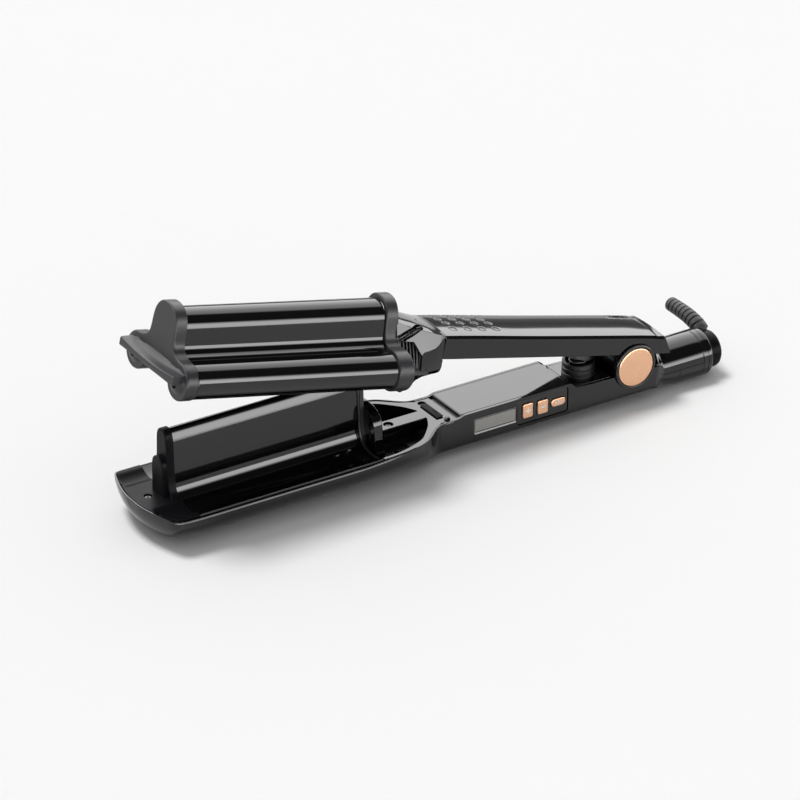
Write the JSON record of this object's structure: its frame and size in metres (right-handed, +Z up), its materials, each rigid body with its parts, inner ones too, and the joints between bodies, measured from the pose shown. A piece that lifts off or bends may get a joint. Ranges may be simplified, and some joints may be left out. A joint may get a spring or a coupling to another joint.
{
  "type": "triple-barrel hair crimper",
  "caption": "Hand-held hair crimper (deep waver): a hinged upper arm with a humped barrel closes over a heated ridge on the lower arm, with display, keys and swivel cord outlet.",
  "frame": {"origin": "on the flat underside of the lower handle, straight below the hinge axis of the two arms and on the tool's centre line", "axes": "+X along the lower handle towards the cord, the heated barrels lie towards -X; +Z up from the lower arm to the upper arm; the display and the keys are on the -Y side"},
  "size_m": [0.3438, 0.0646, 0.1239],
  "materials": {
    "gloss_black_shell": "piano-black injection moulded plastic, high gloss",
    "satin_black_cap": "heat-resistant satin black plastic with a fine spark-eroded texture",
    "titanium_coated_barrel": "dark gloss titanium-ceramic coating on aluminium, soft long reflections",
    "rose_gold_trim": "satin rose-gold metallised trim",
    "panel_black": "gloss black plastic",
    "lcd_glass_grey": "unlit reflective display behind a clear gloss window",
    "steel": "zinc-plated or stainless steel, drawn",
    "rubber_black": "matte black rubber or flexible PVC",
    "board_green": "glass-epoxy circuit board, satin",
    "ceramic_heater": "matte white sintered ceramic",
    "aluminium_shield": "rolled sheet, satin",
    "inner_black": "unpolished black moulding, matte",
    "brass_contact": "bright brass, stamped",
    "white_plastic": "matte white moulding"
  },
  "bodies": {
    "lower_arm": {"brush_block": "inner_black", "control_board": "board_green", "control_panel": "panel_black", "hinge_bezel_left": "panel_black", "hinge_bezel_right": "panel_black", "hinge_cap_left": "rose_gold_trim", "hinge_cap_right": "rose_gold_trim", "hinge_pin": "steel", "lcd_module": "white_plastic", "lcd_window": "lcd_glass_grey", "lower_barrel_plate": "titanium_coated_barrel", "lower_front_cap": "satin_black_cap", "lower_handle_cover": "gloss_black_shell", "lower_heat_shield": "aluminium_shield", "lower_heater_clip": "steel", "lower_heater_element": "ceramic_heater", "lower_housing": "gloss_black_shell", "lower_neck_frame": "gloss_black_shell", "lower_rear_cap": "satin_black_cap", "lower_thermistor": "white_plastic", "lower_well_tray": "inner_black", "neck_latch_hook": "satin_black_cap", "neck_vent_strip": "rubber_black", "opening_spring": "steel", "power_board": "board_green", "spring_seat": "inner_black", "switch_minus": "steel", "switch_plus": "steel", "switch_power": "steel", "tail_cover": "gloss_black_shell", "tail_ring": "gloss_black_shell"},
    "upper_arm": {"upper_barrel": "titanium_coated_barrel", "upper_heater_left": "ceramic_heater", "upper_heater_right": "ceramic_heater", "upper_thermistor": "white_plastic", "upper_front_cap": "satin_black_cap", "tip_screw_left": "steel", "tip_screw_right": "steel", "upper_rear_collar": "satin_black_cap", "upper_neck": "gloss_black_shell", "upper_handle_shell": "gloss_black_shell", "upper_hinge_chassis": "inner_black", "upper_wiring": "rubber_black"},
    "plus_key": {"button_plus": "rose_gold_trim"},
    "minus_key": {"button_minus": "rose_gold_trim"},
    "power_key": {"button_power": "rose_gold_trim"},
    "cord_swivel": {"swivel_drum": "satin_black_cap", "strain_relief": "rubber_black", "power_cord": "rubber_black", "slip_ring_contacts": "brass_contact"}
  },
  "joints": [
    {"name": "arm_hinge", "type": "hinge", "parent": "lower_arm", "child": "upper_arm", "pos_m": [0, 0, 0.0171], "axis": [0, -1, 0], "range_deg": [0, 12.8], "stiffness_Nm_per_rad": 1.5, "springref_deg": -25.78, "deforming": ["opening_spring"]},
    {"name": "press_plus", "type": "slide", "parent": "lower_arm", "child": "plus_key", "axis": [0, 1, 0], "range_m": [0, 0.0006]},
    {"name": "press_minus", "type": "slide", "parent": "lower_arm", "child": "minus_key", "axis": [0, 1, 0], "range_m": [0, 0.0006]},
    {"name": "press_power", "type": "slide", "parent": "lower_arm", "child": "power_key", "axis": [0, 1, 0], "range_m": [0, 0.0006]},
    {"name": "cord_turn", "type": "hinge", "parent": "lower_arm", "child": "cord_swivel", "pos_m": [0.0521, 0, 0.0055], "axis": [1, 0, 0], "continuous": true}
  ]
}
